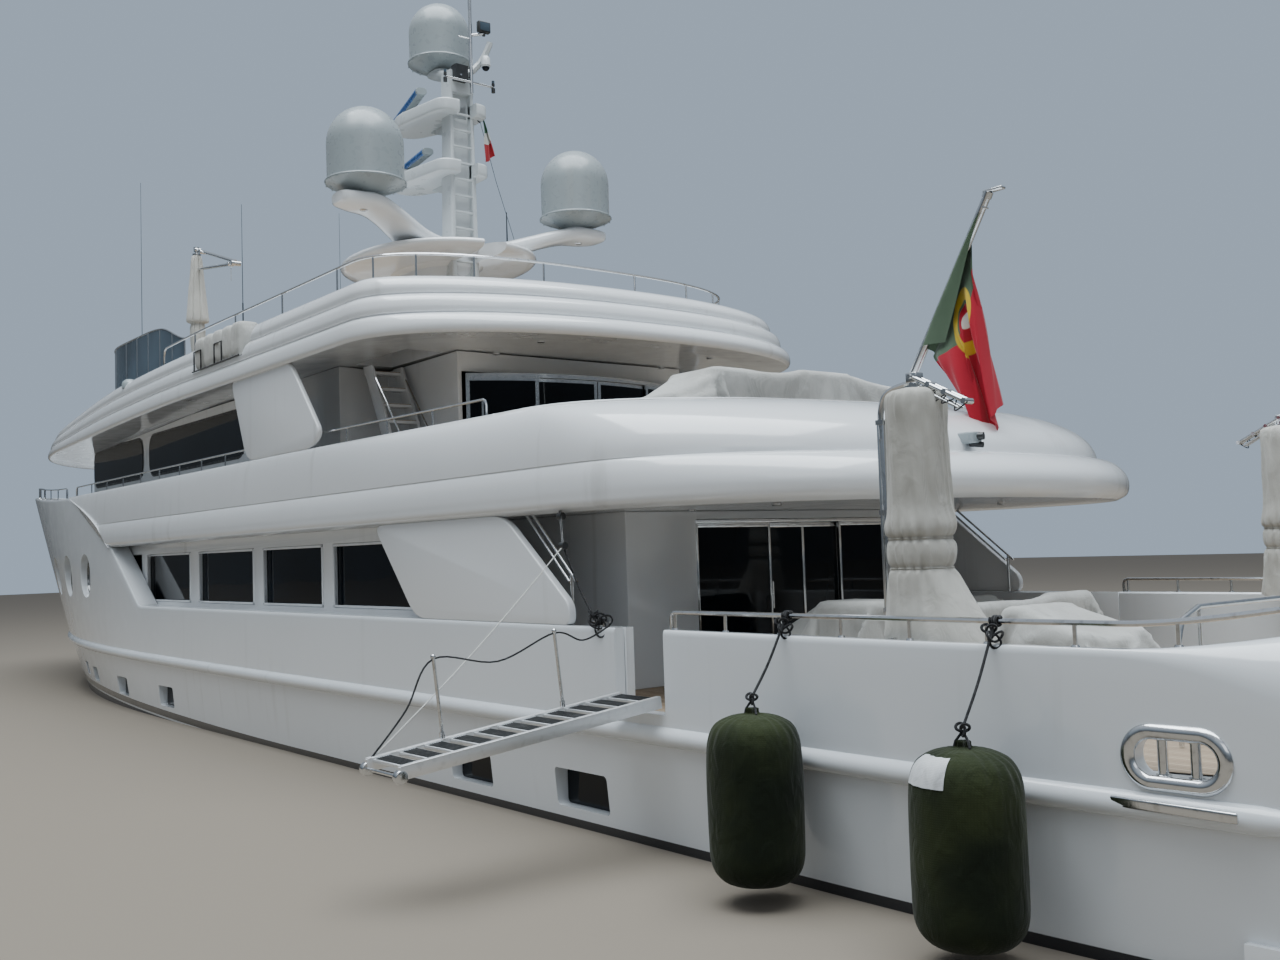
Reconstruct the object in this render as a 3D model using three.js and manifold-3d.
// A motor yacht of about 39.5 m with three decks, afloat alongside.
// Millimetres. +X runs to the bow, +Y to port, +Z up. Origin: centreline, amidships, at the waterline.
import * as THREE from "three";
import { mergeVertices } from "three/addons/utils/BufferGeometryUtils.js";
import Module from "manifold-3d";

const wasm = await Module();
wasm.setup();

// Driving dimensions of the hull
const STERN = -17800; // transom at the waterline
const PLATFORM_END = -19500; // aft edge of the bathing platform
const STEM_WATERLINE = 18450;
const STEM_HEAD = 20000;
const HALF_BEAM = 4000;
const DRAFT = 1750; // canoe body, without skegs and propellers
const MAIN_DECK = 1300;
const BULWARK_TOP = 2100;
const BULWARK = 120; // thickness of the aft bulwark
const RUB_RAIL = 1100; // height of its middle aft

// Driving dimensions of the decks and houses
const UPPER_UNDER = 3300;
const UPPER_DECK = 3600;
const UPPER_COAMING = 4500;
const UPPER_AFT = -12600;
const SUN_UNDER = 5850;
const SUN_DECK = 6180;
const SUN_TOP = 6760;
const SUN_AFT = -6500;
const SUN_FORE = 16000;
const HARDTOP = 8150;
const MAIN_WALL = 3600; // half width of the wide main house
const SALOON_WALL = 2900; // half width of its aft part, beside the side decks
const SALOON_AFT = -9100;
const HOUSE_STEP = -6000;
const HOUSE_FORE = 7350;
const UPPER_WALL = 3000;
const UPPER_HOUSE_AFT = -4200;
const UPPER_HOUSE_FORE = 13900;
const WALL = 80;
const GAP = 0.4; // between pieces that touch
const PANE = 16;

const white = paint(0xe9edf0, 0.25, 0);
const antifoul = paint(0x12161d, 0.7, 0);
const glassDark = paint(0x0b0f13, 0.08, 0);
const steel = paint(0xc8cacc, 0.2, 1);
const bronze = paint(0x9a7440, 0.35, 1);
const canvas = paint(0xb9b3a6, 0.9, 0);
const teak = paint(0xa07f57, 0.7, 0);
const fenderCover = paint(0x1d2a1b, 0.95, 0);
const blue = paint(0x1d4a8a, 0.4, 0);
const flagCloth = paint(0x9c1f2a, 0.9, 0);

function paint(color, roughness, metalness) {
  return new THREE.MeshStandardMaterial({ color, roughness, metalness });
}

// Solids that can be joined and cut
function solid(geometry) {
  const g = geometry.clone();
  g.deleteAttribute("normal");
  g.deleteAttribute("uv");
  const merged = mergeVertices(g, 1e-3);
  const index = merged.index.array;
  const made = new wasm.Manifold(
    new wasm.Mesh({
      numProp: 3,
      vertProperties: merged.attributes.position.array,
      triVerts: new Uint32Array(index),
    }),
  );
  if (made.volume() >= 0) return made;
  const turned = new Uint32Array(index.length);
  for (let i = 0; i < index.length; i += 3) {
    turned.set([index[i], index[i + 2], index[i + 1]], i);
  }
  return new wasm.Manifold(
    new wasm.Mesh({ numProp: 3, vertProperties: merged.attributes.position.array, triVerts: turned }),
  );
}

function join(...solids) {
  return solids.reduce((a, b) => a.add(b));
}

function both(make) {
  return [make(1), make(-1)];
}

function box(x0, x1, y0, y1, z0, z1) {
  const g = new THREE.BoxGeometry(Math.abs(x1 - x0), Math.abs(y1 - y0), Math.abs(z1 - z0));
  return solid(g.translate((x0 + x1) / 2, (y0 + y1) / 2, (z0 + z1) / 2));
}

function shapeOf(points) {
  return new THREE.Shape(points.map(([a, b]) => new THREE.Vector2(a, b)));
}

// A plan outline [x, y] raised from z0 to z1
function plate(points, z0, z1) {
  const g = new THREE.ExtrudeGeometry(shapeOf(points), { depth: z1 - z0, bevelEnabled: false });
  return solid(g.translate(0, 0, z0));
}

// A side outline [x, z] spread from y0 to y1
function slab(points, y0, y1) {
  const g = new THREE.ExtrudeGeometry(shapeOf(points), { depth: y1 - y0, bevelEnabled: false });
  return solid(g.rotateX(Math.PI / 2).translate(0, y1, 0));
}

function rod(a, b, r, sides = 8, r2 = r) {
  const from = new THREE.Vector3(...a);
  const along = new THREE.Vector3(...b).sub(from);
  const g = new THREE.CylinderGeometry(r2, r, along.length(), sides);
  g.translate(0, along.length() / 2, 0);
  g.applyQuaternion(new THREE.Quaternion().setFromUnitVectors(new THREE.Vector3(0, 1, 0), along.normalize()));
  return solid(g.translate(from.x, from.y, from.z));
}

// A round tube through points, mitred at each bend
function tube(points, r, sides = 5) {
  const p = points.map((q) => new THREE.Vector3(...q));
  const up = new THREE.Vector3(0, 0, 1);
  const rings = p.map((q, i) => {
    const ahead = p[Math.min(i + 1, p.length - 1)].clone().sub(p[Math.max(i - 1, 0)]).normalize();
    const side = ahead.clone().cross(up).normalize();
    const over = side.clone().cross(ahead);
    return Array.from({ length: sides }, (_, k) => {
      const a = (k / sides) * 2 * Math.PI;
      const at = side.clone().multiplyScalar(r * Math.cos(a)).addScaledVector(over, r * Math.sin(a)).add(q);
      return [at.x, at.y, at.z];
    });
  });
  return skin(rings);
}

// A profile [radius, z] turned about the vertical through (x, y)
function turned(profile, x, y, sides = 32) {
  const g = new THREE.LatheGeometry(profile.map(([a, b]) => new THREE.Vector2(a, b)), sides);
  return solid(g.rotateX(Math.PI / 2).translate(x, y, 0));
}

// Skins a row of closed rings of equal length; a fan round its middle closes each end ring
function skin(rings) {
  const n = rings[0].length;
  const positions = rings.flat(2);
  const index = [];
  for (let i = 0; i + 1 < rings.length; i++) {
    for (let j = 0; j < n; j++) {
      const a = i * n + j;
      const b = i * n + ((j + 1) % n);
      index.push(a, b, a + n, b, b + n, a + n);
    }
  }
  for (const k of [0, rings.length - 1]) {
    const middle = positions.length / 3;
    positions.push(...[0, 1, 2].map((axis) => rings[k].reduce((sum, p) => sum + p[axis], 0) / n));
    for (let j = 0; j < n; j++) {
      const a = k * n + j;
      const b = k * n + ((j + 1) % n);
      if (k) index.push(a, b, middle);
      else index.push(b, a, middle);
    }
  }
  const g = new THREE.BufferGeometry();
  g.setAttribute("position", new THREE.Float32BufferAttribute(positions, 3));
  g.setIndex(index);
  return solid(g);
}

// Points at equal steps between two stations
function along(x0, x1, count, place) {
  return Array.from({ length: count + 1 }, (_, i) => place(mix(x0, x1, i / count)));
}

const clamp = THREE.MathUtils.clamp;
const mix = THREE.MathUtils.lerp;
const smooth = (x, a, b) => THREE.MathUtils.smoothstep(x, a, b);

// The hull's surface: half breadth at height z, station x
function stemAt(z) {
  return mix(STEM_WATERLINE, STEM_HEAD, clamp(z / 4900, -0.6, 1.05));
}

function halfBreadth(x, z) {
  const up = clamp(z / 4700, 0, 1);
  const full = mix(3880, HALF_BEAM, clamp(z / 1200, 0, 1));
  const start = mix(2500, 7000, up);
  const power = mix(2.6, 3.2, up);
  const bluntness = mix(0.75, 0.45, up);
  const u = clamp((x - start) / (stemAt(z) - start), 0, 1);
  const bow = Math.pow(1 - Math.pow(u, power), bluntness);
  const quarter = 1 - 0.07 * Math.pow(clamp((-13000 - x) / 5000, 0, 1.2), 2);
  return Math.max(full * bow * quarter, 12);
}

function keelAt(x) {
  const aft = smooth(-x, 6000, 18500) * (DRAFT - 550);
  const fore = Math.pow(clamp((x - 11500) / (STEM_WATERLINE - 11500), 0, 1), 2.4) * DRAFT;
  return -DRAFT + aft + fore;
}

const STATIONS = [
  STERN, -16800, -15500, -13500, -10000, -5000, 0, 2500, 5000, 7200, 9200, 11000, 12500, 13800, 15000,
  16100, 17100, 17900, 18600,
];
const BILGE_STEPS = 6;

// Towards the stern the bulwark's cap grows into a broad crowned shoulder
function shoulder(x) {
  const share = smooth(-x, 15600, 18200);
  return { out: 620 * share, drop: 620 * share, rise: 300 * share };
}

// One hull section, keel to bulwark on both sides, up to the height top
function hullSection(x, top) {
  const keel = Math.min(keelAt(x), -30);
  const half = [];
  for (let k = 0; k <= BILGE_STEPS; k++) {
    const a = (k / BILGE_STEPS) * (Math.PI / 2);
    const side = halfBreadth(x, 0) * Math.pow(Math.sin(a), 0.75);
    half.push([x, k ? side : 6, keel * Math.pow(Math.cos(a), 0.9)]);
  }
  half[BILGE_STEPS][2] = 0;
  const { out, drop, rise } = shoulder(x);
  const edge = top - 60 - drop;
  for (const z of [600, 1300, edge]) half.push([x, halfBreadth(x, z), z]);
  const cap = Math.max(halfBreadth(x, top) - 20 - out, 11);
  half.push([x, mix(halfBreadth(x, edge), cap, 0.3), mix(edge, top + rise, 0.62)]);
  half.push([x, cap, top + rise]);
  return half.concat(half.map(([a, b, c]) => [a, -b, c]).reverse());
}

// The stem closes on a raked line, so its last ring leans forward
function stemRing(top) {
  const ring = hullSection(STATIONS[STATIONS.length - 1], top);
  return ring.map(([x, y, z]) => [Math.max(x, stemAt(z)), Math.sign(y) * 12, z]);
}

const sidePlan = (inset, x0, x1, z, steps = 16) => {
  const port = [];
  for (let i = 0; i <= steps; i++) {
    const x = mix(x0, x1, i / steps);
    port.push([x, halfBreadth(x, z) - inset]);
  }
  return port.concat(port.map(([x, y]) => [x, -y]).reverse());
};

// The gangway runs out to port from the gate's sill: y and z of its inner and outer ends
const GANGWAY = { x: -10680, width: 640, inner: [4010, 1440], outer: [6740, 1140], pin: 28 };
const GANGWAY_SLOPE = Math.atan2(GANGWAY.outer[1] - GANGWAY.inner[1], GANGWAY.outer[0] - GANGWAY.inner[0]);

// The pin lies a little out from the inner end and below the walking line
function gangwayPin() {
  const [out, below] = [30, 20];
  const { inner } = GANGWAY;
  return [
    inner[0] + out * Math.cos(GANGWAY_SLOPE) + below * Math.sin(GANGWAY_SLOPE),
    inner[1] + out * Math.sin(GANGWAY_SLOPE) - below * Math.cos(GANGWAY_SLOPE),
  ];
}

// Running gear
const PROP = { x: -15200, y: 1600, z: -1400 };
const RUDDER = { x: -16300, y: 1600, socket: -480, stock: 60, low: -1880, high: -760 };

// Gates in the bulwark for the gangway, and the steps through the stern
const GATE_AFT = -11040;
const GATE_FORE = -10280;
const STEPS_IN = 2150;
const STEPS_OUT = 2950;
const FAIRLEAD = { x: -16000, z: 1420, width: 560, height: 240 };
const BULWARK_FORE = HOUSE_FORE + 20;

// The whole hull up to the bulwark's cap, before the deck and the house are let into it
function hullForm() {
  const rings = STATIONS.map((x) => hullSection(x, BULWARK_TOP));
  rings.push(stemRing(BULWARK_TOP));
  let form = skin(rings);
  for (const s of [1, -1]) {
    form = form.subtract(box(GATE_AFT, GATE_FORE, s * 3700, s * 4200, MAIN_DECK, 2600));
    // Steps go down from the deck through the stern
    for (let k = 0; k < 4; k++) {
      const tread = MAIN_DECK - 200 * k;
      form = form.subtract(
        box(STERN - 100, STERN + 1000 - 250 * k, s * STEPS_IN, s * STEPS_OUT, tread - (k ? 200 : 0), 2600),
      );
    }
    for (const [x, z, w, h] of HULL_PORTS) {
      const deep = s * (halfBreadth(x, z) - 90);
      form = form.subtract(box(x - w / 2, x + w / 2, deep, s * 4300, z - h / 2, z + h / 2));
    }
    const { x, z, width, height } = FAIRLEAD;
    const deep = box(x - width / 2, x + width / 2, s * 3100, s * 4300, z - height / 2, z + height / 2);
    form = form.subtract(deep);
  }
  return form.subtract(box(STERN - 100, STERN + 42 + GAP, -1900, 1900, 560, 1990));
}

// The skeg is a fin on the centreline that steadies the yacht on her course [x, z]
const SKEG = [[-6500, -1650], [-13900, -700], [-14100, -1650], [-13500, -1800], [-7200, -1800]];
const SKEG_THICK = 190;

function makeHull(form) {
  let hull = form.subtract(box(STERN - 200, BULWARK_FORE, -4500, 4500, MAIN_DECK, 2800));
  hull = join(hull, ...makeRubRails(), slab(SKEG, -SKEG_THICK / 2, SKEG_THICK / 2));
  // The gangway's bearing on the sill, and the sockets of the rudder stocks
  const [pinY, pinZ] = gangwayPin();
  const bracket = [GANGWAY.x - 180, GANGWAY.x + 180];
  hull = join(
    hull,
    box(...bracket, 3800, pinY + 25, MAIN_DECK - 10, MAIN_DECK + 25),
    box(...bracket, pinY - 30, pinY + 25, MAIN_DECK, pinZ - GANGWAY.pin - GAP),
  );
  for (const s of [1, -1]) {
    const stock = [RUDDER.x, s * RUDDER.y];
    hull = hull.subtract(rod([...stock, -900], [...stock, RUDDER.socket], RUDDER.stock + 8, 14));
  }
  return hull;
}

// The bulwarks stand on the deck's edge: two lengths a side, and the stern's wall between the steps
function makeBulwarks(form) {
  const low = MAIN_DECK + GAP;
  const [aft, fore] = [STERN + 900, BULWARK_FORE + 50];
  const well = along(aft, fore, 14, (x) => {
    const besideHouse = halfBreadth(x, MAIN_DECK) - MAIN_WALL - 10;
    const thick = x > HOUSE_STEP - 500 ? Math.max(BULWARK, besideHouse) : BULWARK;
    return [x, halfBreadth(x, MAIN_DECK) - thick - shoulder(x).out * 1.15];
  });
  const walls = form
    .subtract(plate(well.concat(well.map(([x, y]) => [x, -y]).reverse()), MAIN_DECK, 2800))
    .subtract(box(HOUSE_STEP - GAP, fore, -MAIN_WALL - GAP, MAIN_WALL + GAP, MAIN_DECK, 2800));
  const part = (x0, x1, y0, y1) => walls.intersect(box(x0, x1, y0, y1, low, 2800));
  return {
    stern: part(STERN - 200, aft + 400, -STEPS_IN - 50, STEPS_IN + 50),
    aft: both((s) => part(STERN - 200, GATE_AFT + 50, s * (STEPS_OUT - 50), s * 4500)),
    fore: both((s) => part(GATE_FORE - 50, BULWARK_FORE - 2 * GAP, s * 1000, s * 4500)),
  };
}

// Hull ports: x, z, width, height of each
const HULL_PORTS = [
  [-9535, 400, 920, 400],
  [-7320, 400, 920, 380],
  [3655, 440, 810, 380],
  [6565, 450, 780, 370],
  [9135, 530, 560, 320],
  [10200, 610, 400, 300],
];

const RUB_STEPS = 18;
const RUB_SIDES = 5;
const RUB_RADIUS = 95;

function makeRubRails() {
  const path = [];
  for (let i = 0; i <= RUB_STEPS; i++) {
    const x = mix(-17500, 18700, 1 - Math.pow(1 - i / RUB_STEPS, 1.6));
    const z = RUB_RAIL + 0.6 * Math.pow(clamp((x + 2000) / 1000, 0, 30), 1.9);
    path.push([x, z]);
  }
  const side = (s) => {
    const rings = path.map(([x, z]) => {
      const y = halfBreadth(x, z) - 8;
      const ring = [];
      for (let k = 0; k <= RUB_SIDES; k++) {
        const a = -Math.PI / 2 + (k / RUB_SIDES) * Math.PI;
        ring.push([x, s * (y + RUB_RADIUS * Math.cos(a)), z + RUB_RADIUS * Math.sin(a)]);
      }
      return ring;
    });
    const [, z] = path[path.length - 1];
    const nose = stemAt(z) + 40;
    const last = rings[rings.length - 1];
    const bulge = (k) => nose + RUB_RADIUS * Math.sin((k / RUB_SIDES) * Math.PI);
    rings.push(last.map(([, , high], k) => [bulge(k), s * 4, high]));
    return skin(rings);
  };
  return both(side);
}

// The raised fore part of the topsides: its aft edge slopes up in a curve [x, z]
const RIDGE = [
  [5050, BULWARK_TOP], [5960, 2690], [6930, 3290], [7820, 3780], [8920, 4150], [10300, 4480],
];
const BOW_TOP = 4900;

function bowTop(x) {
  return mix(4480, BOW_TOP, smooth(x, 10300, 19000));
}

function makeForecastle() {
  const xs = [4950, 7200, 9200, 11000, 12500, 13800, 15000, 16100, 17100, 17900, 18600];
  const ring = (x, atStem) => {
    const levels = [BULWARK_TOP + GAP, 2700, 3400, 4000, bowTop(x) - 80, bowTop(x)];
    const half = levels.map((z, k) => {
      const y = Math.max(halfBreadth(x, z) - (k === 5 ? 30 : 0), 12);
      return atStem ? [Math.max(x, stemAt(z)), 12, z] : [x, y, z];
    });
    return half.concat(half.map(([a, b, c]) => [a, -b, c]).reverse());
  };
  const rings = xs.map((x) => ring(x, false));
  const lastX = (z) => Math.max(xs[xs.length - 1] + 20, stemAt(z) - 250);
  rings.push(ring(18700, true).map(([, y, z]) => [lastX(z), Math.sign(y) * halfBreadth(lastX(z), z), z]));
  rings.push(ring(18700, true).map(([, y, z]) => [stemAt(z), y, z]));
  let body = skin(rings);
  const behind = RIDGE.concat([[10300, 5400], [4000, 5400], [4000, 2000], [5050, 2000]]);
  body = body.subtract(slab(behind, -5000, 5000));
  const pit = sidePlan(140, 6000, 18300, 3900, 14);
  body = body.subtract(plate(pit, UPPER_DECK, 5600));
  body = body.subtract(box(5000, HOUSE_FORE + 20, -MAIN_WALL - 10, MAIN_WALL + 10, 2000, UPPER_UNDER + 5));
  for (const s of [1, -1]) {
    for (const [x, w, h] of OVAL_PORTS) {
      const y = halfBreadth(x, 2700);
      const oval = new THREE.CylinderGeometry(1, 1, 700, 14).scale(w / 2, 1, h / 2);
      const turn = Math.atan2(halfBreadth(x - 400, 2700) - halfBreadth(x + 400, 2700), 800);
      body = body.subtract(solid(oval.rotateZ(s > 0 ? -turn : turn).translate(x, s * (y + 190), 2700)));
    }
  }
  return body;
}

// Oval ports in the bow topsides: x, width, height
const OVAL_PORTS = [
  [9000, 900, 950],
  [10900, 900, 950],
  [12700, 800, 900],
];

// Plan of a deck with a rounded aft end: [x, y] points, port side then starboard
function deckPlan({ aft, fore, half, corner, nose = 0, noseLength = 1, power = 2.4, middle = 5 }) {
  const port = [];
  const steps = 9;
  for (let i = 0; i <= steps; i++) {
    const a = (i / steps) * (Math.PI / 2);
    const x = aft + corner - corner * Math.pow(Math.cos(a), 2 / power);
    port.push([x, half * Math.pow(Math.sin(a), 2 / power)]);
  }
  for (let i = 1; i < middle; i++) port.push([mix(aft + corner, fore - noseLength, i / middle), half]);
  if (nose) {
    for (let i = 0; i <= 8; i++) {
      const a = (i / 8) * (Math.PI / 2);
      port.push([
        fore - noseLength + noseLength * Math.pow(Math.sin(a), 2 / power),
        half * Math.pow(Math.cos(a), 2 / power),
      ]);
    }
  } else {
    port.push([fore, half]);
  }
  const starboard = port.filter(([, y]) => y > 1).map(([x, y]) => [x, -y]).reverse();
  return port.map(([x, y]) => [x, Math.abs(y) < 1 ? 0 : y]).concat(starboard);
}

// Moves a closed plan inward along its own normals: by one distance, or by [along X, along Y]
function inset(plan, distance) {
  const n = plan.length;
  const [byX, byY] = Array.isArray(distance) ? distance : [distance, distance];
  return plan.map((p, i) => {
    const a = plan[(i + n - 1) % n];
    const b = plan[(i + 1) % n];
    const d = new THREE.Vector2(b[0] - a[0], b[1] - a[1]).normalize();
    return [p[0] + d.y * byX, p[1] - d.x * byY];
  });
}

// A deck edge: the plan carried up through a moulding profile [inset, z]
function moulded(plan, profile, lift = (x, z) => z) {
  const rings = profile.map(([distance, z]) => inset(plan, distance).map(([x, y]) => [x, y, lift(x, z)]));
  return skin(rings);
}

// A ring between two plans of equal length
function between(low, high, share, z) {
  return low.map(([x, y], i) => [mix(x, high[i][0], share), mix(y, high[i][1], share), z]);
}

const upperPlan = deckPlan({ aft: UPPER_AFT, fore: 12000, half: 4060, corner: 3300, power: 2.3 });
const ROLL_TOP = 3790;
const jointPlan = inset(upperPlan, [480, 40]);
const capPlan = deckPlan({ aft: -10520, fore: 12000, half: 3800, corner: 2100, power: 2.2 })
  .map(([x, y]) => [x, y + Math.sign(y) * 150 * smooth(x, -9000, -2000)]);
const wellPlan = inset(capPlan, 150);
const WELL_FORE = 10400;

// The deck's slab with its rolled edge
function makeUpperDeck() {
  const profile = [
    [330, UPPER_UNDER],
    [140, UPPER_UNDER - 20],
    [[60, 30], 3350],
    [0, 3500],
    [[110, 10], 3660],
    [[300, 30], 3760],
    [[480, 60], ROLL_TOP],
  ];
  const deck = moulded(upperPlan, profile);
  return aftOfRidge(deck.subtract(box(-15000, WELL_FORE, -3850, 3850, UPPER_DECK, 5600)
    .intersect(plate(inset(wellPlan, -60), UPPER_DECK, 5600))));
}

function aftOfRidge(body) {
  const edge = RIDGE.map(([x, z]) => [x - 1, z]);
  const [low, high] = [edge[0][0], edge[edge.length - 1][0]];
  const fore = [[high, 6000], [15000, 6000], [15000, 2000], [low, 2000]];
  return body.subtract(slab(edge.concat(fore), -5000, 5000));
}

// The upper bulwark rises from the roll in a round back that lies far in at the aft end
function makeUpperBulwark() {
  const rise = UPPER_COAMING - ROLL_TOP;
  const steps = 5;
  const turn = 1.4; // radians of the round back
  const arch = along(0, turn, steps, (a) => {
    const share = (1 - Math.cos(a)) / (1 - Math.cos(turn));
    return between(jointPlan, capPlan, share, ROLL_TOP + GAP + (rise * Math.sin(a)) / Math.sin(turn));
  });
  return aftOfRidge(skin(arch).subtract(plate(wellPlan, ROLL_TOP - 100, 5600)));
}

// The sundeck's bands droop and grow thin towards the bow
function sunLift(x, z) {
  const droop = 320 * smooth(x, 2000, SUN_FORE);
  const squeeze = mix(1, 0.45, smooth(x, 6500, SUN_FORE - 600));
  return SUN_UNDER + (z - SUN_UNDER) * squeeze - droop;
}

const sunPlan = deckPlan({
  aft: SUN_AFT, fore: SUN_FORE, half: 4010, corner: 2300, nose: 1, noseLength: 5200, power: 2.3,
});
const SUN_PIT = { aft: -4550, fore: 9200, half: 2850, corner: 1500, nose: 1, noseLength: 2500, power: 2.3 };

// Liferafts stand in a recess of the sundeck's edge, outside the rail
const RAFTS = { aft: -350, fore: 1850, inner: 3560, outer: 3990, low: 6240, high: 6860, room: 90 };

function makeSundeck() {
  // Insets [aft and fore, sides] and heights of the three bands of the edge
  const profile = [
    [900, SUN_UNDER + 60], [[140, 140], SUN_UNDER],
    [[20, 10], SUN_UNDER + 30], [[0, 0], 5990], [[90, 25], 6110], [[260, 70], 6150],
    [[270, 60], 6180], [[270, 50], 6290], [[350, 90], 6410], [[520, 150], 6450],
    [[530, 150], 6480], [[530, 140], 6570], [[640, 190], 6690], [[950, 320], SUN_TOP],
  ];
  let deck = moulded(sunPlan, profile, sunLift);
  // The fore part carries a low coaming for the windscreen
  const coaming = plate(screenPlan(60), SUN_DECK, SCREEN_FOOT)
    .subtract(box(0, WINDSCREEN.aft, -4000, 4000, 5000, 8000));
  deck = deck.add(coaming);
  deck = deck.subtract(plate(deckPlan(SUN_PIT), SUN_DECK, 7500));
  const { aft, fore, inner, low, room } = RAFTS;
  for (const s of [1, -1]) {
    deck = deck.subtract(box(aft - room, fore + room, s * (inner - GAP), s * 4500, low - GAP, 7500));
  }
  // The stair's hatch
  return deck.subtract(box(-3900, -2250, 2200, 2840, SUN_UNDER - 100, SUN_DECK + 10));
}

// The wind screen stands round the fore part of the sundeck
const WINDSCREEN = { aft: 5100, nose: 12300, half: 3020, top: 7950, thick: 22 };
const SCREEN_FOOT = 6990;

function screenPlan(out) {
  const { nose, half } = WINDSCREEN;
  return deckPlan({
    aft: 3000, fore: nose + out, half: half + out, corner: 500, nose: 1, noseLength: 3000, power: 2.3,
  });
}

// A hollow house: walls round a plan, open at the top and bottom
function houseWalls(plan, z0, z1) {
  return plate(plan, z0, z1).subtract(plate(inset(plan, WALL), z0 - 10, z1 + 10));
}

// Main deck windows: aft x, fore x of each, all between the same heights
const MAIN_WINDOWS = [[-5500, -2950], [-2600, -270], [110, 2780], [3210, 5800]];
const MAIN_SILL = 2170;
const MAIN_HEAD = 3100;
const SALOON_OPENING = { half: 1850, high: 3200 };

function makeMainHouse() {
  const plan = [
    [SALOON_AFT, SALOON_WALL], [HOUSE_STEP, SALOON_WALL], [HOUSE_STEP, MAIN_WALL], [HOUSE_FORE, MAIN_WALL],
    [HOUSE_FORE, -MAIN_WALL], [HOUSE_STEP, -MAIN_WALL],
    [HOUSE_STEP, -SALOON_WALL], [SALOON_AFT, -SALOON_WALL],
  ];
  let walls = plate(plan, MAIN_DECK + GAP, UPPER_UNDER - GAP);
  const [narrow, wide] = [SALOON_WALL - WALL, MAIN_WALL - WALL];
  walls = walls.subtract(box(SALOON_AFT + WALL, HOUSE_STEP + WALL + 1, -narrow, narrow, 1000, 4000));
  walls = walls.subtract(box(HOUSE_STEP + WALL, HOUSE_FORE - WALL, -wide, wide, 1000, 4000));
  for (const s of [1, -1]) {
    for (const [aft, fore] of MAIN_WINDOWS) {
      walls = walls.subtract(box(aft, fore, s * 3000, s * 3700, MAIN_SILL, MAIN_HEAD));
    }
    // The foremost pane is a triangle under the ridge of the topsides
    const corner = slab([[6100, MAIN_SILL], [6130, MAIN_HEAD], [7200, MAIN_HEAD]], 3000, 3700);
    walls = walls.subtract(s > 0 ? corner : corner.mirror([0, 1, 0]));
  }
  const { half, high } = SALOON_OPENING;
  return walls.subtract(box(SALOON_AFT - 10, SALOON_AFT + 200, -half, half, MAIN_DECK + 30, high));
}

const DOOR_LOW = MAIN_DECK + 40;
const DOOR_HIGH = 3150;
const STILE = 60; // width of a leaf's frame; its bottom rail is half as wide again

// A framed leaf across the yacht with its pane
function doorLeaf(x, y0, y1) {
  const [low, high] = [DOOR_LOW + 1.5 * STILE, DOOR_HIGH - STILE];
  const frame = box(x, x + 40, y0, y1, DOOR_LOW, DOOR_HIGH);
  const opening = box(x - 1, x + 41, y0 + STILE, y1 - STILE, low, high);
  const pane = box(x + 12, x + 28, y0 + STILE - 10, y1 - STILE + 10, low - 10, high + 10);
  return frame.subtract(opening).add(pane);
}

// Upper deck house
const NICHE = -2000; // the house's side walls end here, beside the stair
const NICHE_WALL = 2150; // half width of the back box between the stairs
const upperHousePlan = [
  [NICHE, UPPER_WALL], [11800, UPPER_WALL], [13000, 2500], [13700, 1500], [UPPER_HOUSE_FORE, 500],
  [UPPER_HOUSE_FORE, -500], [13700, -1500], [13000, -2500], [11800, -UPPER_WALL], [NICHE, -UPPER_WALL],
  [NICHE, -NICHE_WALL], [UPPER_HOUSE_AFT, -NICHE_WALL], [UPPER_HOUSE_AFT, NICHE_WALL], [NICHE, NICHE_WALL],
];
const upperFloor = UPPER_DECK + GAP;
const UPPER_WINDOWS = [[2070, 7450], [8000, 11700]]; // aft x, fore x
const UPPER_SILL = 4850;
const UPPER_HEAD = 5640;

function makeUpperHouse() {
  let walls = houseWalls(upperHousePlan, upperFloor, SUN_UNDER + 62);
  for (const s of [1, -1]) {
    for (const [aft, fore] of UPPER_WINDOWS) {
      walls = walls.subtract(box(aft, fore, s * 2800, s * 3100, UPPER_SILL, UPPER_HEAD));
    }
  }
  // The bridge's front windows, and the opening behind the sky lounge's curved screen
  const behind = NICHE_WALL - 70;
  walls = walls.subtract(box(12400, 14100, -1900, 1900, UPPER_SILL, 5500));
  walls = walls.subtract(
    box(UPPER_HOUSE_AFT - 100, UPPER_HOUSE_AFT + 200, -behind, behind, upperFloor - 10, 5600),
  );
  return walls.subtract(sundeck.translate([0, 0, -GAP]));
}

const nodes = new THREE.Group();
function node(name, made, material, parent = nodes) {
  const m = made.getMesh();
  const count = m.numVert;
  const positions = new Float32Array(count * 3);
  for (let i = 0; i < count; i++) {
    positions.set(m.vertProperties.subarray(i * m.numProp, i * m.numProp + 3), i * 3);
  }
  const g = new THREE.BufferGeometry();
  g.setAttribute("position", new THREE.BufferAttribute(positions, 3));
  g.setIndex(new THREE.BufferAttribute(m.triVerts, 1));
  const mesh = new THREE.Mesh(g, material);
  mesh.name = name;
  parent.add(mesh);
  return made;
}

const form = hullForm();
const hull = makeHull(form);
const bulwarks = makeBulwarks(form);
const forecastle = makeForecastle();
const upperDeck = makeUpperDeck();
const upperBulwark = makeUpperBulwark();
const sundeck = makeSundeck();

// Leaves a hair of room between a piece and the curved body it sits against
function clearOf(piece, body, [x, y, z]) {
  return piece.subtract(body.translate([x, y, z])).subtract(body);
}

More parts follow.
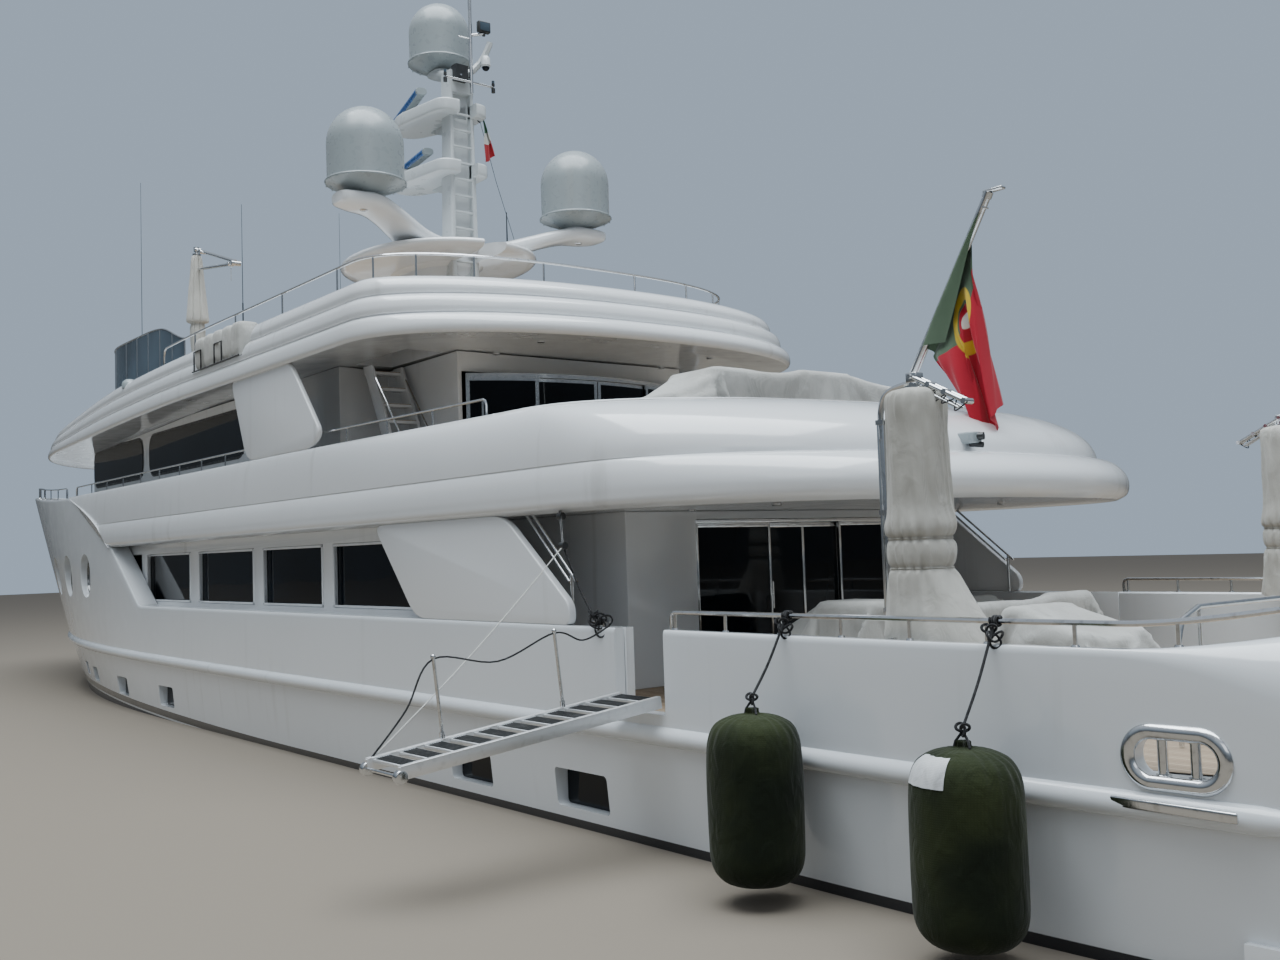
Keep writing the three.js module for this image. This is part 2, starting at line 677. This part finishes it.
function makePlatform() {
  const z0 = -60;
  const z1 = 420;
  const wing = plate(sidePlan(-70, STERN - 500, -16350, 300, 6), z0, 340);
  const deck = plate(sidePlan(-70, STERN - 500, STERN - GAP, 300, 2), z0, z1);
  const end = halfBreadth(STERN - 500, 300) + 70;
  const round = deckPlan({ aft: PLATFORM_END, fore: STERN - 499, half: end, corner: 900, power: 2.6 });
  const sides = wing.subtract(box(STERN + 1, -10000, -3300, 3300, -500, 900));
  return join(plate(round, z0, z1), deck, sides)
    .subtract(form.scale([1, 1.0002, 1]))
    .subtract(form.translate([-GAP, 0, 0]));
}

function makeTransomDoor() {
  return box(STERN + 2, STERN + 42, -1892, 1892, 566, 1984);
}

const GATE_HINGE = { x: GATE_FORE, y: 3860, pin: 14 };

function makeGate(s, open) {
  const dir = open ? 1 : -1;
  const [near, far] = [10, 110].map((off) => s * (GATE_HINGE.y - dir * off));
  const x = [GATE_HINGE.x + dir * 8, GATE_HINGE.x + dir * (GATE_FORE - GATE_AFT - 8)];
  const at = [GATE_HINGE.x, s * GATE_HINGE.y];
  return box(...x, near, far, MAIN_DECK + 45, BULWARK_TOP - 5)
    .add(rod([...at, MAIN_DECK + GAP], [...at, BULWARK_TOP - 5], GATE_HINGE.pin, 12));
}

// Rounds the corners of an outline: each corner becomes a quadratic bend of the given radius
function rounded(points, radius, steps = 4) {
  const n = points.length;
  return points.flatMap((p, i) => {
    const corner = new THREE.Vector2(...p);
    const before = new THREE.Vector2(...points[(i + n - 1) % n]);
    const after = new THREE.Vector2(...points[(i + 1) % n]);
    const r = Math.min(radius, before.distanceTo(corner) / 2.01, after.distanceTo(corner) / 2.01);
    const a = corner.clone().add(before.sub(corner).setLength(r));
    const b = corner.clone().add(after.sub(corner).setLength(r));
    const bend = new THREE.QuadraticBezierCurve(a, corner, b);
    return bend.getPoints(steps).map((q) => [q.x, q.y]);
  });
}

// Fashion plates slant between the decks: side outline [x, z], inner and outer y
const MAIN_WING = {
  outline: [
    [-5050, 3285], [-8250, 3285], [-9500, 2320], [-9500, BULWARK_TOP + GAP], [-6150, BULWARK_TOP + GAP],
  ],
  radius: 260,
  y: [3890, 3985],
};
const UPPER_WING = {
  outline: [
    [150, 5905], [-2250, 5905], [-3350, 4700], [-3000, UPPER_COAMING + GAP], [-500, UPPER_COAMING + GAP],
  ],
  radius: 280,
  y: [3862, 3942],
};

function makeWing({ outline, radius, y }, s) {
  const port = slab(rounded(outline, radius), ...y);
  const wing = clearOf(s > 0 ? port : port.mirror([0, 1, 0]), upperDeck, [0, 0, -GAP]);
  return clearOf(clearOf(wing, sundeck, [0, 0, -GAP]), upperBulwark, [0, 0, GAP]);
}

// The main windows' glass is one band inside the walls, joined across the fore wall
function makeMainGlass() {
  const outer = MAIN_WALL - WALL - GAP;
  const fore = HOUSE_FORE - WALL - GAP;
  return box(-5700, fore, -outer, outer, MAIN_SILL - 60, MAIN_HEAD + 60)
    .subtract(box(-5800, fore - PANE, -outer + PANE, outer - PANE, 1000, 4000));
}

const PANE_SPLIT = 620; // the saloon's sliding leaf lies between two fixed panes

function makeSaloonFrame() {
  const x = SALOON_AFT + 20;
  const half = SALOON_OPENING.half - 10;
  const head = box(x, x + 110, -half, half, DOOR_HIGH + 5, SALOON_OPENING.high - 5);
  const track = box(x, x + 110, -half, half, MAIN_DECK + 30 + GAP, DOOR_LOW - GAP);
  const fixed = [[PANE_SPLIT, half], [-half, -PANE_SPLIT]].map(([y0, y1]) => join(
    doorLeaf(x + 2, y0, y1),
    box(x + 2, x + 42, y0, y1, DOOR_HIGH - 20, DOOR_HIGH + 10),
    box(x + 2, x + 42, y0, y1, DOOR_LOW - 5, DOOR_LOW + 20),
  ));
  return join(head, track, ...fixed);
}

function makeSaloonDoor() {
  return doorLeaf(SALOON_AFT + 72, -PANE_SPLIT - 40, PANE_SPLIT + 40);
}

// The sky lounge's curved screen turns about this upright line
const SCREEN = { x: -800, r: 4000 };

function arcPiece(r0, r1, a0, a1, z0, z1, steps = 8) {
  const outline = [];
  for (let i = 0; i <= steps; i++) {
    const a = Math.PI + mix(a0, a1, i / steps);
    outline.push([SCREEN.x + r1 * Math.cos(a), r1 * Math.sin(a)]);
  }
  for (let i = steps; i >= 0; i--) {
    const a = Math.PI + mix(a0, a1, i / steps);
    outline.push([SCREEN.x + r0 * Math.cos(a), r0 * Math.sin(a)]);
  }
  return plate(outline, z0, z1);
}

const LEAF_ANGLE = 0.26;
const SCREEN_ANGLE = 0.535;
const SCREEN_LOW = upperFloor;
const SCREEN_HIGH = 5560;

function makeSkyScreen() {
  const rim = (z0, z1) => arcPiece(SCREEN.r - 110, SCREEN.r + 20, -SCREEN_ANGLE, SCREEN_ANGLE, z0, z1);
  const pane = (a0, a1) => arcPiece(SCREEN.r - 20, SCREEN.r + 10, a0, a1, SCREEN_LOW + 5, SCREEN_HIGH - 5);
  return join(rim(SCREEN_LOW, SCREEN_LOW + 40), rim(SCREEN_HIGH - 60, SCREEN_HIGH),
    pane(-SCREEN_ANGLE, -LEAF_ANGLE), pane(LEAF_ANGLE, SCREEN_ANGLE));
}

function makeSkyDoor(s) {
  const [a0, a1] = s > 0 ? [-LEAF_ANGLE - 0.01, -0.002] : [0.002, LEAF_ANGLE + 0.01];
  const leaf = arcPiece(SCREEN.r - 70, SCREEN.r - 40, a0, a1, SCREEN_LOW + 46, SCREEN_HIGH - 66);
  // Two shoes stand on the sill's track
  const shoes = [0.2, 0.8].map((share) => {
    const a = mix(a0, a1, share);
    const sill = SCREEN_LOW + 40;
    return arcPiece(SCREEN.r - 68, SCREEN.r - 42, a - 0.008, a + 0.008, sill + GAP, sill + 10, 1);
  });
  return join(leaf, ...shoes);
}

// The glass of the upper house is one band inside its walls, open aft
function makeUpperGlass() {
  const outer = inset(upperHousePlan, WALL + 2 * GAP);
  const inner = inset(upperHousePlan, WALL + 2 * GAP + PANE);
  const band = plate(outer, UPPER_SILL - 70, 5500).subtract(plate(inner, 4700, 5600));
  return band.subtract(box(-6000, UPPER_WINDOWS[0][0] - 170, -4000, 4000, 4000, 6000));
}

// Mast, its arms and hardtop. The mast's aft face is upright and carries the ladder.
const MAST_AFT = -920;
const MAST_LEVELS = [ // z, length, half width
  [SUN_DECK + GAP, 420, 310],
  [9100, 370, 290],
  [11650, 320, 235],
];
const LADDER = { half: 175, deep: 110, step: 380, rung: 40 };
const DOME = { x: -1350, y: 2150, z: 9120, r: 640 };
const TOP_DOME = { x: -150, z: 12020, r: 560 };
const DOME_FOOT = -190; // a dome's underside, from its own level

// The hardtop: half width and height of its edge's profile, longer than wide by a share
const CAP_PROFILE = [
  [0, 0], [1340, 20], [1585, 70], [1650, 130], [1610, 190], [1180, 290], [550, 360], [0, 370],
];
const CAP = { x: 200, longer: 1.18 };
const TRUNK = { x: 200, top: 760, foot: 850, longer: 1.3, wide: 0.8 };

// Arms to the side domes: centre x, y, z, then half width along X and half thickness
const ARM = [
  [-600, 200, 8520, 420, 95], [-640, 800, 8500, 470, 130], [-900, 1300, 8610, 470, 140],
  [-1180, 1750, 8760, 460, 130], [-1370, 2150, 8805.6, 450, 124], [-1390, 2700, 8805, 330, 110],
];

function makeHardtop() {
  const profile = CAP_PROFILE.map(([a, b]) => new THREE.Vector2(a, b));
  const cap = new THREE.LatheGeometry(profile, 28).rotateX(Math.PI / 2);
  const disc = solid(cap.scale(CAP.longer, 1, 1).translate(CAP.x, 0, HARDTOP));
  const [low, high] = [SUN_DECK + GAP, HARDTOP + 40];
  const post = new THREE.CylinderGeometry(TRUNK.top, TRUNK.foot, high - low, 20).rotateX(Math.PI / 2);
  const trunk = solid(post.scale(TRUNK.longer, TRUNK.wide, 1).translate(TRUNK.x, 0, (low + high) / 2));
  const arm = (s) => skin(ARM.map(([x, y, z, w, t]) => [
    [x - w, s * y, z - t], [x - w, s * y, z + t * 0.6], [x - w * 0.8, s * y, z + t],
    [x + w * 0.8, s * y, z + t], [x + w, s * y, z + t * 0.6], [x + w, s * y, z - t],
  ]));
  // The ladder and the mast pass through a notch in its aft edge
  const side = LADDER.half + 40;
  const notch = box(-3000, MAST_AFT + 100, -side, side, 7000, 9000);
  return join(disc, trunk, ...both(arm)).subtract(notch).subtract(mastColumn(2 * GAP));
}

function mastColumn(larger = 0) {
  return skin(MAST_LEVELS.map(([z, length, half]) => {
    const [aft, fore, y] = [MAST_AFT - larger, MAST_AFT + length + larger, half + larger];
    return [[aft, -y, z], [aft, y, z], [fore, y, z], [fore, -y, z]];
  }));
}

const PLATFORMS = [9830, 10930]; // middle heights
const PLATFORM = { half: 120, round: 200, gusset: 60, deep: 360 };
const SCANNER = { x: 520, y: 340, post: 130, rise: 180, length: 2080 };

// A rounded shelf round the column, with a gusset below that carries a radar forward of it
function makeShelf(z) {
  const { half, round, gusset, deep } = PLATFORM;
  const outline = [
    [MAST_AFT - 190, 500], [MAST_AFT - 190, -450], [MAST_AFT + 480, -460],
    [720, 180], [720, 560], [200, 760],
  ];
  const rib = slab([[MAST_AFT + 300, z + 5], [500, z + 5], [MAST_AFT + 300, z - deep]], -gusset, gusset);
  const top = z + half;
  return join(
    plate(rounded(outline, round), z - half, top), rib,
    rod([SCANNER.x, SCANNER.y, z], [SCANNER.x, SCANNER.y, top + SCANNER.rise], SCANNER.post, 14),
  );
}

// The neck bends forward from the column's head to the top dome's foot
function makeNeck() {
  const ring = (x0, x1, y, z0, z1) => [[x0, -y, z0], [x0, y, z0], [x1, y, z1], [x1, -y, z1]];
  const [aft, fore, foot] = [MAST_AFT + 20, MAST_AFT + 310, TOP_DOME.z + DOME_FOOT - GAP];
  return skin([
    ring(aft, fore, 215, 11350, 11350),
    ring(aft + 60, fore + 220, 220, 11620, 11560),
    ring(TOP_DOME.x - 330, TOP_DOME.x + 190, 230, foot, foot),
  ]);
}

// Spar, yard, flood lamp and their brackets above the column
const SPAR = { x: MAST_AFT - 160, y: -110, z: 11500, top: 13300, r: 32 };

function makeSpar() {
  const { x, y, z, top, r } = SPAR;
  const lampFoot = [x - 90, y - 230, 12340];
  return join(
    rod([x, y, z], [x, y, top], r, 10),
    rod([x, y, z + 40], [MAST_AFT + 120, y, z + 40], r, 8),
    rod([x, y - 460, 11420], [x, y + 540, 11420], 22, 8),
    rod([x, y + 60, 11420], [MAST_AFT + 100, y + 60, 11420], 20, 8),
    rod([x, y, 12290], lampFoot, r, 8),
    rod(lampFoot, [lampFoot[0], lampFoot[1], 12400], 30, 8),
    box(x - 140, x - 40, y - 340, y - 110, 12360, 12560),
  );
}

function makeMast() {
  const { half, deep, step, rung } = LADDER;
  const [low, high] = [MAST_LEVELS[0][0], MAST_LEVELS[2][0]];
  const recess = box(MAST_AFT - 500, MAST_AFT + deep, -half, half, low - 10, high - 500);
  let mast = join(mastColumn(), ...PLATFORMS.map(makeShelf)).subtract(recess);
  for (let z = low + step; z < high - 500; z += step) {
    mast = mast.add(box(MAST_AFT + 10, MAST_AFT + 10 + rung, -half - 40, half + 40, z, z + rung));
  }
  return clearOf(clearOf(join(mast, makeNeck(), makeSpar()), hardtop, [0, 0, GAP]), sundeck, [0, 0, GAP]);
}

const DOME_STEPS = 4;

function makeDome(x, y, z, r) {
  const profile = [
    [0, DOME_FOOT], [r * 0.36, DOME_FOOT], [r * 0.42, DOME_FOOT + 20],
    [r * 1.03, -10], [r * 1.06, 20], [r, 40], [r, r * 1.02],
  ];
  for (let i = 1; i <= DOME_STEPS; i++) {
    const a = (i / DOME_STEPS) * (Math.PI / 2);
    profile.push([i === DOME_STEPS ? 0 : r * Math.cos(a), r * 1.02 + r * Math.sin(a)]);
  }
  return turned(profile.map(([a, b]) => [a, b + z]), x, y, 18);
}

function makeScanner(z, angle) {
  const foot = z + PLATFORM.half + SCANNER.rise + GAP;
  const bar = new THREE.BoxGeometry(SCANNER.length, 110, 130).rotateZ(angle);
  const hub = rod([SCANNER.x, SCANNER.y, foot], [SCANNER.x, SCANNER.y, foot + 50], 90, 14);
  return solid(bar.translate(SCANNER.x, SCANNER.y, foot + 70)).add(hub);
}

// Stainless rails: posts on a line of points, with a rail above them
function railing(points, height, r, post = 1) {
  const top = points.map(([x, y, z]) => [x, y, z + height]);
  const standing = points.filter((_, i) => i % post === 0 || i === points.length - 1);
  const posts = standing.map(([x, y, z]) => rod([x, y, z], [x, y, z + height], r * 0.8, 4));
  return join(tube(top, r), ...posts);
}

// Rails: from x, to x, height and radius
const MAIN_RAIL = { from: -11100, to: -16700, height: 165, r: 21 };
const UPPER_RAIL = { from: -7400, to: 10100, height: 220, r: 16 };
const BOW_RAIL = { from: 10900, to: 17500 };
const SUN_RAIL = { aft: -4870, fore: 4900, half: 3450, corner: 1500, power: 2.5, middle: 6 };

function makeMainRail(s) {
  const { from, to, height, r } = MAIN_RAIL;
  const foot = (x) => {
    const { out, rise } = shoulder(x);
    return [x, s * (halfBreadth(x, BULWARK_TOP) - 70 - out), BULWARK_TOP + rise - 15];
  };
  return clearOf(railing(along(from, to, 8, foot), height, r), bulwarks.aft[s > 0 ? 0 : 1], [0, 0, GAP]);
}

// It runs along the inner edge of the upper bulwark's cap, inside the wing, and on round the bow
function makeUpperRail(s) {
  const { from, to, height, r } = UPPER_RAIL;
  const coaming = (x) => s * (3665 + 150 * smooth(x, -9000, -2000));
  const deck = along(from, to, 15, (x) => [x, coaming(x), UPPER_COAMING + GAP]);
  const bow = along(BOW_RAIL.from, BOW_RAIL.to, 7, (x) => {
    return [x, s * (halfBreadth(x, bowTop(x)) - 100), bowTop(x) + GAP];
  });
  return clearOf(railing(deck.concat(bow), height, r), forecastle, [0, 0, GAP]);
}

function makeSunRail() {
  const half = deckPlan(SUN_RAIL).filter(([, y]) => y >= -1).reverse();
  const path = half.concat(half.slice(0, -1).reverse().map(([x, y]) => [x, -y]));
  const foot = path.map(([x, y]) => [x, y, sunLift(x, SUN_TOP) - 20]);
  return clearOf(railing(foot, 460, 20, 2), sundeck, [0, 0, GAP]);
}

function makeWindscreen() {
  const { aft, top } = WINDSCREEN;
  const hollow = plate(screenPlan(-WINDSCREEN.thick), SUN_DECK, top + 100);
  // Its top edge falls away towards the aft ends
  const edge = [[aft, 7460], [6500, 7880], [8200, top + 1]];
  const falling = slab([[0, 9000], [0, 7460], ...edge, [8200, 9000]], -4000, 4000);
  return plate(screenPlan(0), SCREEN_FOOT + GAP, top)
    .subtract(hollow)
    .subtract(box(0, aft, -4000, 4000, 6000, 9000))
    .subtract(falling);
}

// Side parasols, closed: each hangs beside its post, fore of it to starboard and aft of it to port
const PARASOL = { fore: -13430, aft: -13790, y: 3560, post: 45, foot: 160, top: 3900, hub: 4130 };

function parasolPlaces(s) {
  return s > 0 ? [PARASOL.fore, PARASOL.aft] : [PARASOL.aft, PARASOL.fore];
}

function makeParasolFrame(s) {
  const [x, hung] = parasolPlaces(s);
  const reach = hung - x;
  const y = s * PARASOL.y;
  const foot = MAIN_DECK + GAP;
  const { post, foot: half, top, hub } = PARASOL;
  return join(
    box(x - post, x + post, y - post, y + post, foot, top),
    box(x - half, x + half, y - half, y + half, foot, foot + 30),
    rod([x, y, top - 70], [hung, y, hub], 30, 6),
    // The folded arm leans away from the hub
    rod([x + 0.92 * reach, y, hub - 10], [x + 2.4 * reach, y, hub - 210], 28, 6),
    rod([hung, y, hub - 5], [hung, y, hub - 85], 55, 8),
  );
}

function makeParasolCover(s) {
  const profile = [
    [0, 2080], [230, 2080], [190, 2250], [175, 2430], [215, 2700], [225, 3100], [215, 3600], [190, 3900],
    [120, 4010], [50, 4040], [0, 4040],
  ];
  return turned(profile, parasolPlaces(s)[1], s * PARASOL.y, 12);
}

const SUN_PARASOL = { x: 5420, y: 2650, post: 40, foot: 190, top: 9380, elbow: [3250, 8650] };

function makeSunParasol() {
  const { x, y, post, foot, top, elbow } = SUN_PARASOL;
  const floor = SUN_DECK + GAP;
  const cover = [
    [0, 7250], [130, 7250], [150, 7830], [230, 7850], [225, 8200], [150, 8900], [80, 9250], [0, 9260],
  ];
  return join(
    turned(cover, x, y, 12),
    rod([x, y, floor], [x, y, top], post, 8),
    rod([x, y, floor], [x, y, floor + 60], foot, 12),
    // Its folding arm: two struts that meet at an elbow
    rod([x, y, top - 50], [elbow[0], y, elbow[1]], 24, 6),
    rod([x, y, elbow[1] - 40], [elbow[0], y, elbow[1]], 24, 6),
  );
}

const STAFF = { foot: [-10720, 0, 4490], head: [-12050, 0, 6650] };

function makeStaff() {
  const [x, y, z] = STAFF.foot;
  const socket = rod([x + 30, y, z - 300], [x, y, z + 90], 90, 10);
  return clearOf(rod(STAFF.foot, STAFF.head, 45, 8, 30).add(socket), upperBulwark, [0, 0, GAP]);
}

// The flag's hoist lies along the staff, its fly hangs aft of it
function makeEnsign() {
  const { foot, head } = STAFF;
  const onStaff = (z) => mix(foot[0], head[0], (z - foot[2]) / (head[2] - foot[2]));
  const outline = [
    [onStaff(5200), 5200], [onStaff(6500), 6500],
    [-12080, 5600], [-12130, 4700], [-12020, 4120], [-11820, 4280],
    [-11620, 4750],
  ];
  return clearOf(slab(outline, foot[1] - 10, foot[1] + 10), makeStaff(), [-GAP, 0, -GAP / 2]);
}

// Beams, treads, wheels and stanchions of the gangway, laid flat along +Y and then turned to its slope
const GANGWAY_PARTS = {
  beam: 45, depth: 110, treads: 11, tread: 170, pitch: 250,
  wheel: 60, posts: [700, 2000], post: 20, high: 780,
};

function makeGangway() {
  const { x, width, inner, outer, pin } = GANGWAY;
  const { beam, depth, treads, tread, pitch, wheel, posts, post, high } = GANGWAY_PARTS;
  const length = Math.hypot(outer[0] - inner[0], outer[1] - inner[1]);
  const across = (r, wide, sides) => new THREE.CylinderGeometry(r, r, wide, sides).rotateZ(Math.PI / 2);
  const pieces = [
    across(wheel, width + 60, 14).translate(0, length - 10, -50),
    across(pin, width - 60, 10).translate(0, 30, -20),
  ];
  for (const k of [-1, 1]) {
    const side = new THREE.BoxGeometry(beam, length, depth);
    pieces.push(side.translate((k * (width - beam)) / 2, length / 2, -20));
  }
  for (let i = 0; i < treads; i++) {
    pieces.push(new THREE.BoxGeometry(width - 60, tread, 30).translate(0, depth + i * pitch, 12));
  }
  for (const d of posts) {
    const stanchion = new THREE.CylinderGeometry(post, post, high, 8).rotateX(Math.PI / 2);
    pieces.push(stanchion.translate(width / 2 - 25, d, high / 2 - 10));
  }
  return join(...pieces.map((g) => solid(g.rotateX(GANGWAY_SLOPE).translate(x, ...inner))));
}

function makeFender(x, z0, z1) {
  const r = 395;
  const y = HALF_BEAM + 98 + r;
  const profile = [
    [0, z0], [r * 0.75, z0 + 30], [r * 0.96, z0 + 150], [r, z0 + 300], [r, z1 - 350], [r * 0.93, z1 - 180],
    [r * 0.7, z1 - 50], [60, z1], [45, z1 + 60], [0, z1 + 60],
  ];
  // Its lanyard is made fast to the rail on the bulwark
  const railHeight = BULWARK_TOP + 150;
  const lanyard = rod([x, y, z1], [x, halfBreadth(x, BULWARK_TOP) - 70, railHeight], 14, 6);
  return clearOf(turned(profile, x, y, 18).add(lanyard), makeMainRail(1), [0, GAP, -GAP]);
}

function makeLiferaft(s) {
  const { aft, fore, inner, outer, low, high } = RAFTS;
  return box(aft, fore, s * inner, s * outer, low, high);
}

// A cloth over furniture: an upright skirt that leans in to a flat top
function makeCover({ x, y, foot, top, corner, lean }) {
  const plan = rounded([[x[0], y[0]], [x[0], y[1]], [x[1], y[1]], [x[1], y[0]]], corner);
  const steps = [[0, foot], [0, mix(foot, top, 0.7)], [lean * 0.4, mix(foot, top, 0.93)], [lean, top]];
  return skin(steps.map(([d, z]) => inset(plan, d).map(([a, b]) => [a, b, z])));
}

const onMain = MAIN_DECK + GAP;
const COVERS = {
  table: { x: [-13000, -11000], y: [-1500, 2800], foot: onMain, top: 2300, corner: 350, lean: 150 },
  armchair: { x: [-14850, -12900], y: [1150, 2550], foot: onMain, top: 2200, corner: 300, lean: 200 },
  sofa: { x: [-16600, -15500], y: [-2100, 2100], foot: onMain, top: 2150, corner: 200, lean: 150 },
  lounge: { x: [-9850, -8500], y: [-2500, 2600], foot: upperFloor, top: 5000, corner: 500, lean: 350 },
};

const BLADE = {
  outline: [[-90, 60], [90, 60], [190, 330], [130, 545], [-130, 545], [-190, 330]],
  count: 4, thick: 24,
};

function makePropeller(s) {
  const y = s * PROP.y;
  let prop = rod([PROP.x - 190, y, PROP.z], [PROP.x + 130, y, PROP.z], 95, 10, 75);
  const outline = shapeOf(rounded(BLADE.outline, 120, 1));
  for (let k = 0; k < BLADE.count; k++) {
    const blade = new THREE.ExtrudeGeometry(outline, { depth: BLADE.thick, bevelEnabled: false });
    blade.translate(0, 0, -BLADE.thick / 2).rotateY(s * 0.95);
    blade.rotateX((2 * k * Math.PI) / BLADE.count + 0.35).translate(PROP.x - 20, y, PROP.z);
    prop = prop.add(solid(blade));
  }
  return prop;
}

// The shaft leaves the hull far forward; a barrel on a vee of two struts holds it before the propeller
function makeShaft(s) {
  const y = s * PROP.y;
  const shaft = rod([PROP.x + 132.4, y, PROP.z], [-10500, y, PROP.z + 150], 55, 12);
  const barrel = rod([PROP.x + 180, y, PROP.z - 4], [PROP.x + 560, y, PROP.z + 12], 105, 14);
  const ring = (aft, fore, middle, z) => [
    [PROP.x + aft, middle - 28, z], [PROP.x + aft, middle + 28, z],
    [PROP.x + fore, middle + 28, z], [PROP.x + fore, middle - 28, z],
  ];
  const strut = (k) => skin([ring(230, 520, y + k * 20, PROP.z), ring(250, 500, y + k * 330, -500)]);
  return clearOf(join(shaft, barrel, strut(1), strut(-1)), hull, [0, 0, -GAP]);
}

function makeRudder(s) {
  const y = s * RUDDER.y;
  const chord = (z, fore, aft, t) => {
    const half = [[fore, 0], [fore * 0.5, t], [-aft * 0.2, t], [-aft, 8]];
    const mirrored = half.slice(1).reverse().map(([x, off]) => [x, -off]);
    return half.concat(mirrored).map(([x, off]) => [RUDDER.x + x, y + off, z]);
  };
  const blade = skin([chord(RUDDER.low, 250, 430, 50), chord(RUDDER.high, 330, 560, 75)]);
  const { x, high, socket, stock } = RUDDER;
  return blade.add(rod([x, y, high - 40], [x, y, socket - GAP], stock, 14));
}

const STAIR = { steps: 8, x: [-3850, -2700], y: [2250, 2800], tread: 230, thick: 40, head: 5840 };

function makeStair() {
  const { steps, x, y, tread, thick, head } = STAIR;
  const rise = (SUN_DECK - upperFloor) / (steps + 1.6);
  const treads = along(0, steps - 1, steps - 1, (i) => {
    const [at, z] = [mix(...x, i / (steps - 1)), upperFloor + rise * (i + 1)];
    return box(at, at + tread, ...y, z - thick, z);
  });
  const [foot, top] = x;
  const outline = [[foot, upperFloor], [foot + 260, upperFloor], [top + 260, head], [top - 20, head]];
  const cheeks = [y[0], y[1] - thick].map((side) => slab(outline, side, side + thick));
  return join(...treads, ...cheeks);
}

const hardtop = makeHardtop();

node("hull", hull, white);
node("stern_wall", bulwarks.stern, white);
["port", "stbd"].forEach((side, i) => {
  const s = i ? -1 : 1;
  node(`bulwark_aft_${side}`, bulwarks.aft[i], white);
  node(`bulwark_fore_${side}`, bulwarks.fore[i], white);
  node(`gate_${side}`, makeGate(s, s > 0), white);
  node(`wing_main_${side}`, makeWing(MAIN_WING, s), white);
  node(`wing_upper_${side}`, makeWing(UPPER_WING, s), white);
  node(`sky_door_${side}`, makeSkyDoor(s), glassDark);
  node(`dome_${side}`, makeDome(DOME.x, s * DOME.y, DOME.z, DOME.r), white);
  node(`main_rail_${side}`, makeMainRail(s), steel);
  node(`upper_rail_${side}`, makeUpperRail(s), steel);
  node(`parasol_${side}`, makeParasolFrame(s).add(makeParasolCover(s)), canvas);
  node(`liferaft_${side}`, makeLiferaft(s), canvas);
  node(`propeller_${side}`, makePropeller(s), bronze);
  node(`shaft_${side}`, makeShaft(s), bronze);
  node(`rudder_${side}`, makeRudder(s), antifoul);
});
node("forecastle", forecastle, white);
node("upper_deck", upperDeck, white);
node("upper_bulwark", upperBulwark, white);
node("sundeck", sundeck, white);
node("main_house", makeMainHouse(), white);
node("upper_house", makeUpperHouse(), white);
node("main_glass", makeMainGlass(), glassDark);
node("upper_glass", makeUpperGlass(), glassDark);
node("saloon_frame", makeSaloonFrame(), steel);
node("saloon_door", makeSaloonDoor(), glassDark);
node("sky_screen", makeSkyScreen(), steel);
node("swim_platform", makePlatform(), teak);
node("transom_door", makeTransomDoor(), white);
node("stair", makeStair(), white);
node("hardtop", hardtop, white);
node("mast", makeMast(), white);
node("dome_top", makeDome(TOP_DOME.x, 0, TOP_DOME.z, TOP_DOME.r), white);
node("radar_lower", makeScanner(PLATFORMS[0], -0.14), blue);
node("radar_upper", makeScanner(PLATFORMS[1], -0.24), blue);
node("sundeck_rail", makeSunRail(), steel);
node("windscreen", makeWindscreen(), glassDark);
node("sundeck_parasol", makeSunParasol(), canvas);
node("ensign_staff", makeStaff(), steel);
node("ensign", makeEnsign(), flagCloth);
node("gangway", makeGangway(), steel);
node("fender_fore", makeFender(-12750, 160, 1500), fenderCover);
node("fender_aft", makeFender(-14820, 120, 1440), fenderCover);
node("table_cover", makeCover(COVERS.table).add(makeCover(COVERS.armchair)), canvas);
node("sofa_cover", makeCover(COVERS.sofa), canvas);
node("lounge_cover", makeCover(COVERS.lounge), canvas);

export default nodes;
